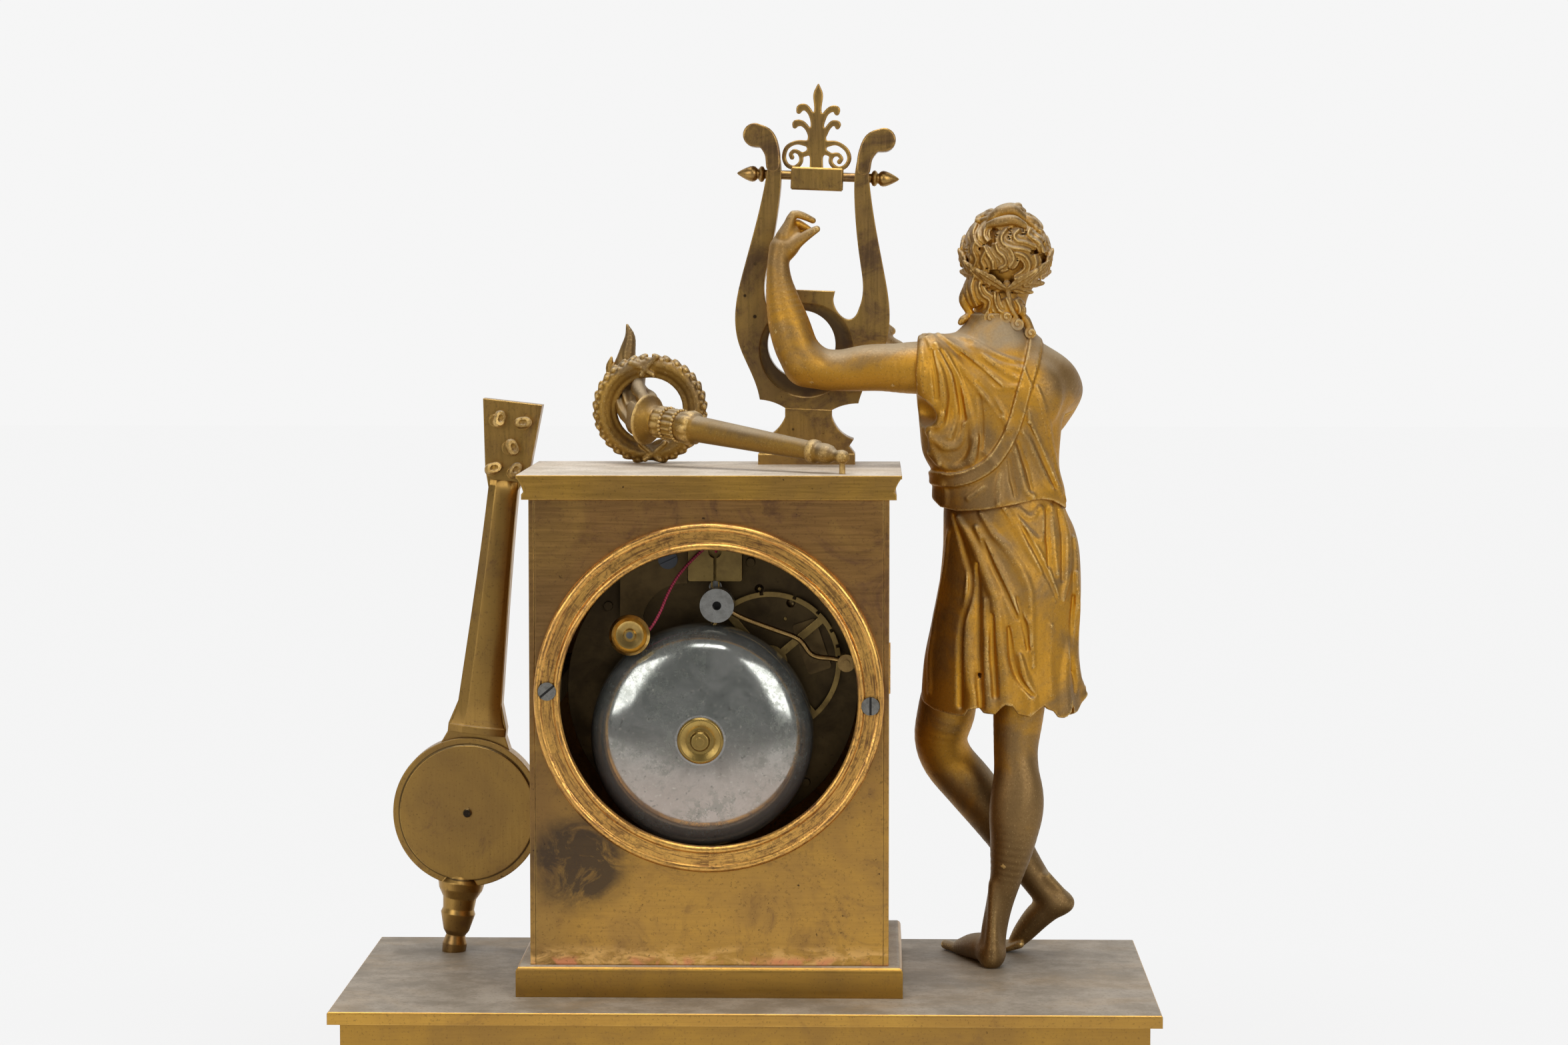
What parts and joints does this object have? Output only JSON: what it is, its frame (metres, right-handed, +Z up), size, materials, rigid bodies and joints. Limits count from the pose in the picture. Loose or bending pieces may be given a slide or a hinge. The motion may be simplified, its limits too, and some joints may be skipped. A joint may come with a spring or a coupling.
{
  "type": "figural mantel clock",
  "caption": "Gilt-bronze mantel clock: a lyre player beside a pedestal with a round bell-striking movement, silk suspension and glazed dial door.",
  "frame": {"origin": "middle of the base's footprint at the bottom of the feet", "axes": "+Z up, +X to the right as the back is seen, -Y out of the clock's back (the movement side), +Y out of its front (the dial side)"},
  "size_m": [0.276, 0.1384, 0.3856],
  "materials": {
    "gilt_bronze": "satin",
    "movement_brass": "satin",
    "steel": "satin",
    "bell_metal": "polished",
    "blued_steel": "polished",
    "enamel": "gloss",
    "silk": "matt",
    "glass": "clear"
  },
  "bodies": {
    "frame": {"feet": "gilt_bronze", "base_moulding": "gilt_bronze", "base_body": "gilt_bronze", "base_top_plate": "gilt_bronze", "pedestal_plinth": "gilt_bronze", "pedestal_case": "gilt_bronze", "pedestal_back_panel": "gilt_bronze", "cornice": "gilt_bronze", "rear_bezel": "gilt_bronze", "front_bezel": "gilt_bronze", "figure_skirt": "gilt_bronze", "figure_torso": "gilt_bronze", "figure_head": "gilt_bronze", "figure_left_arm": "gilt_bronze", "figure_right_arm": "gilt_bronze", "figure_left_leg": "gilt_bronze", "figure_right_leg": "gilt_bronze", "lyre_frame": "gilt_bronze", "lyre_foot": "gilt_bronze", "lyre_crossbar": "gilt_bronze", "lyre_crest": "gilt_bronze", "lute_body": "gilt_bronze", "lute_neck": "gilt_bronze", "torch": "gilt_bronze", "wreath": "gilt_bronze", "back_plate": "movement_brass", "front_plate": "movement_brass", "clicks": "movement_brass", "cocks": "movement_brass", "suspension_block": "movement_brass", "bell_stand": "movement_brass", "bezel_screws": "steel", "pedestal_bolts": "steel", "movement_straps": "steel", "mainsprings": "steel", "bell": "bell_metal", "dial": "enamel", "silk_thread": "silk"},
    "third_wheel": {"third_arbor": "steel"},
    "centre_wheel": {"centre_arbor": "steel", "minute_hand": "blued_steel"},
    "intermediate_wheel": {"intermediate_arbor": "steel"},
    "going_barrel": {"going_barrel": "movement_brass"},
    "escape_wheel": {"escape_arbor": "steel"},
    "minute_wheel": {"minute_wheel": "movement_brass"},
    "hour_wheel": {"hour_wheel": "movement_brass"},
    "pendulum": {"pendulum": "steel"},
    "pallets": {"pallet_arbor": "steel"},
    "hammer": {"hammer": "steel"},
    "pin_wheel": {"pin_wheel_arbor": "steel"},
    "count_wheel": {"count_arbor": "steel", "count_wheel": "movement_brass"},
    "strike_barrel": {"strike_barrel": "movement_brass"},
    "fly": {"fly_arbor": "steel"},
    "spool": {"thread_spool": "movement_brass"},
    "door": {"door_ring": "gilt_bronze", "door_glass": "glass"},
    "going_winding_arbor": {"going_winding_arbor": "steel"},
    "strike_winding_arbor": {"strike_winding_arbor": "steel"}
  },
  "joints": [
    {"name": "going_train", "type": "hinge", "parent": "frame", "child": "third_wheel", "pos_m": [-0.01911, 0, 0.18925], "axis": [0, 1, 0], "continuous": true},
    {"name": "minute_hand", "type": "hinge", "parent": "frame", "child": "centre_wheel", "pos_m": [-0.0126, 0, 0.1764], "axis": [0, 1, 0], "continuous": true},
    {"name": "intermediate", "type": "hinge", "parent": "frame", "child": "intermediate_wheel", "pos_m": [-0.01442, 0, 0.16076], "axis": [0, 1, 0], "continuous": true},
    {"name": "going_barrel", "type": "hinge", "parent": "frame", "child": "going_barrel", "pos_m": [-0.0351, 0, 0.16439], "axis": [0, 1, 0], "continuous": true},
    {"name": "escape_wheel", "type": "hinge", "parent": "frame", "child": "escape_wheel", "pos_m": [-0.0115, 0, 0.1984], "axis": [0, 1, 0], "continuous": true},
    {"name": "minute_wheel", "type": "hinge", "parent": "frame", "child": "minute_wheel", "pos_m": [-0.0066, 0, 0.18679], "axis": [0, 1, 0], "continuous": true},
    {"name": "hour_hand", "type": "hinge", "parent": "frame", "child": "hour_wheel", "pos_m": [-0.0126, 0, 0.1764], "axis": [0, 1, 0], "continuous": true},
    {"name": "pendulum_swing", "type": "hinge", "parent": "frame", "child": "pendulum", "pos_m": [-0.0115, 0, 0.2114], "axis": [0, 1, 0], "range_deg": [-3.5, 3.5]},
    {"name": "pallets", "type": "hinge", "parent": "frame", "child": "pallets", "pos_m": [-0.0115, 0, 0.2114], "axis": [0, 1, 0], "range_deg": [-3.6, 3.6]},
    {"name": "hammer_lift", "type": "hinge", "parent": "frame", "child": "hammer", "pos_m": [0.0334, 0, 0.186], "axis": [0, 1, 0], "range_deg": [0, 10]},
    {"name": "strike_train", "type": "hinge", "parent": "frame", "child": "pin_wheel", "pos_m": [0.01233, 0, 0.20006], "axis": [0, 1, 0], "continuous": true},
    {"name": "count_wheel", "type": "hinge", "parent": "frame", "child": "count_wheel", "pos_m": [0.0071, 0, 0.1852], "axis": [0, 1, 0], "continuous": true},
    {"name": "strike_barrel", "type": "hinge", "parent": "frame", "child": "strike_barrel", "pos_m": [0.0099, 0, 0.16439], "axis": [0, 1, 0], "continuous": true},
    {"name": "fly", "type": "hinge", "parent": "frame", "child": "fly", "pos_m": [0.00345, 0, 0.21035], "axis": [0, 1, 0], "continuous": true},
    {"name": "thread_spool", "type": "hinge", "parent": "frame", "child": "spool", "pos_m": [-0.0396, 0, 0.1969], "axis": [0, 1, 0], "continuous": true},
    {"name": "door_hinge", "type": "hinge", "parent": "frame", "child": "door", "pos_m": [0.0469, 0.0533, 0.1764], "axis": [0, 0, -1], "range_deg": [0, 100]},
    {"name": "going_winding", "type": "hinge", "parent": "frame", "child": "going_winding_arbor", "pos_m": [-0.0351, 0, 0.16439], "axis": [0, 1, 0], "continuous": true},
    {"name": "strike_winding", "type": "hinge", "parent": "frame", "child": "strike_winding_arbor", "pos_m": [0.0099, 0, 0.16439], "axis": [0, 1, 0], "continuous": true}
  ],
  "couplings": [
    {"joint": "minute_hand", "follows": "going_train", "ratio": -0.125},
    {"joint": "intermediate", "follows": "going_train", "ratio": 0.020833},
    {"joint": "going_barrel", "follows": "going_train", "ratio": -0.0034722},
    {"joint": "escape_wheel", "follows": "going_train", "ratio": -7.5},
    {"joint": "minute_wheel", "follows": "going_train", "ratio": 0.041667},
    {"joint": "hour_hand", "follows": "going_train", "ratio": -0.010417},
    {"joint": "pallets", "follows": "pendulum_swing", "ratio": 1},
    {"joint": "count_wheel", "follows": "strike_train", "ratio": -0.16667},
    {"joint": "strike_barrel", "follows": "strike_train", "ratio": 0.027778},
    {"joint": "fly", "follows": "strike_train", "ratio": -7.5}
  ]
}
